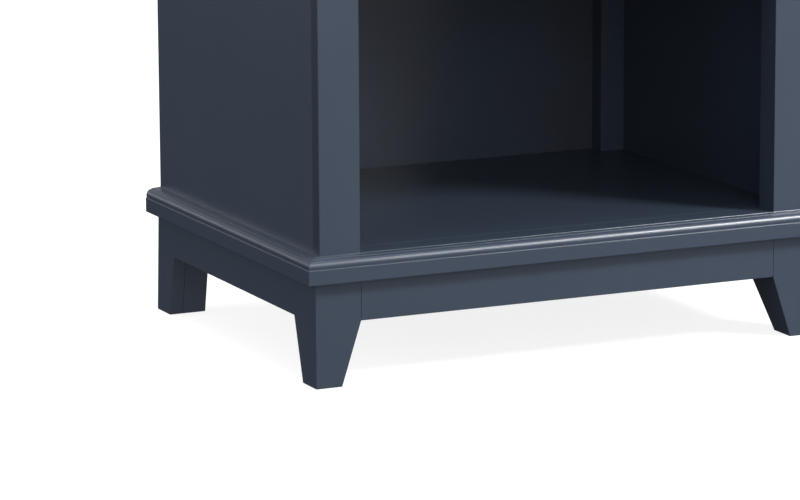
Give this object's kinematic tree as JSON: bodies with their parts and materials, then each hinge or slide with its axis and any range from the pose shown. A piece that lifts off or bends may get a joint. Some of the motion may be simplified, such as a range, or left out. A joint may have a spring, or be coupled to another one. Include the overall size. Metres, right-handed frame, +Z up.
{
  "type": "bathroom vanity cabinet",
  "caption": "Painted bathroom vanity cabinet: open niche below a wide inset drawer on ball-bearing slides, mitred base moulding and tapered feet, open-topped to carry a vanity top.",
  "frame": {"origin": "on the floor, at the centre of the cabinet's outline including the moulding and the knobs", "axes": "+X to the right seen from the front, -Y out of the front where the drawer opens, +Z up"},
  "size_m": [0.7712, 0.565, 0.85],
  "materials": {
    "slate_paint": "satin dark slate-blue paint on wood",
    "drawer_birch": "clear-lacquered birch plywood",
    "packing_pine": "bare planed pine",
    "dowel_beech": "bare fluted beech",
    "slide_steel": "zinc-plated rolled steel",
    "ball_steel": "polished steel balls in a cage",
    "screw_steel": "zinc-plated steel",
    "knob_nickel": "brushed nickel"
  },
  "bodies": {
    "cabinet": {"back_panel": "slate_paint", "base_moulding_front": "slate_paint", "base_moulding_left": "slate_paint", "base_moulding_right": "slate_paint", "bottom_panel": "slate_paint", "cabinet_screws": "screw_steel", "drawer_deck": "slate_paint", "frame_dowels": "dowel_beech", "front_base_rail": "slate_paint", "front_bottom_rail": "slate_paint", "front_left_brace": "slate_paint", "front_left_foot": "slate_paint", "front_left_post": "slate_paint", "front_right_brace": "slate_paint", "front_right_foot": "slate_paint", "front_right_post": "slate_paint", "front_top_rail": "slate_paint", "left_base_rail": "slate_paint", "left_bottom_cleat": "slate_paint", "left_side_panel": "slate_paint", "left_slide_cabinet_member": "slide_steel", "left_slide_rail": "packing_pine", "middle_rail": "slate_paint", "rear_base_rail": "slate_paint", "rear_left_brace": "slate_paint", "rear_left_foot": "slate_paint", "rear_left_post": "slate_paint", "rear_right_brace": "slate_paint", "rear_right_foot": "slate_paint", "rear_right_post": "slate_paint", "rear_top_rail": "slate_paint", "right_base_rail": "slate_paint", "right_bottom_cleat": "slate_paint", "right_side_panel": "slate_paint", "right_slide_cabinet_member": "slide_steel", "right_slide_rail": "packing_pine"},
    "left_slide": {"left_slide_middle_member": "slide_steel", "left_slide_ball_cages": "ball_steel"},
    "right_slide": {"right_slide_middle_member": "slide_steel", "right_slide_ball_cages": "ball_steel"},
    "drawer": {"drawer_bottom": "drawer_birch", "drawer_box_front": "drawer_birch", "drawer_front_bottom_rail": "slate_paint", "drawer_front_left_stile": "slate_paint", "drawer_front_panel": "slate_paint", "drawer_front_right_stile": "slate_paint", "drawer_front_top_rail": "slate_paint", "drawer_knob_left": "knob_nickel", "drawer_knob_right": "knob_nickel", "drawer_left_back": "drawer_birch", "drawer_left_side": "drawer_birch", "drawer_left_well_side": "drawer_birch", "drawer_right_back": "drawer_birch", "drawer_right_side": "drawer_birch", "drawer_right_well_side": "drawer_birch", "drawer_screws": "screw_steel", "drawer_well_front": "drawer_birch", "left_slide_drawer_member": "slide_steel", "right_slide_drawer_member": "slide_steel"}
  },
  "joints": [
    {"name": "drawer_slide", "type": "slide", "parent": "cabinet", "child": "drawer", "axis": [0, -1, 0], "range_m": [0, 0.44]},
    {"name": "left_slide_run", "type": "slide", "parent": "cabinet", "child": "left_slide", "axis": [0, -1, 0], "range_m": [0, 0.22]},
    {"name": "right_slide_run", "type": "slide", "parent": "cabinet", "child": "right_slide", "axis": [0, -1, 0], "range_m": [0, 0.22]}
  ],
  "couplings": [
    {"joint": "left_slide_run", "follows": "drawer_slide", "ratio": 0.5},
    {"joint": "right_slide_run", "follows": "drawer_slide", "ratio": 0.5}
  ]
}
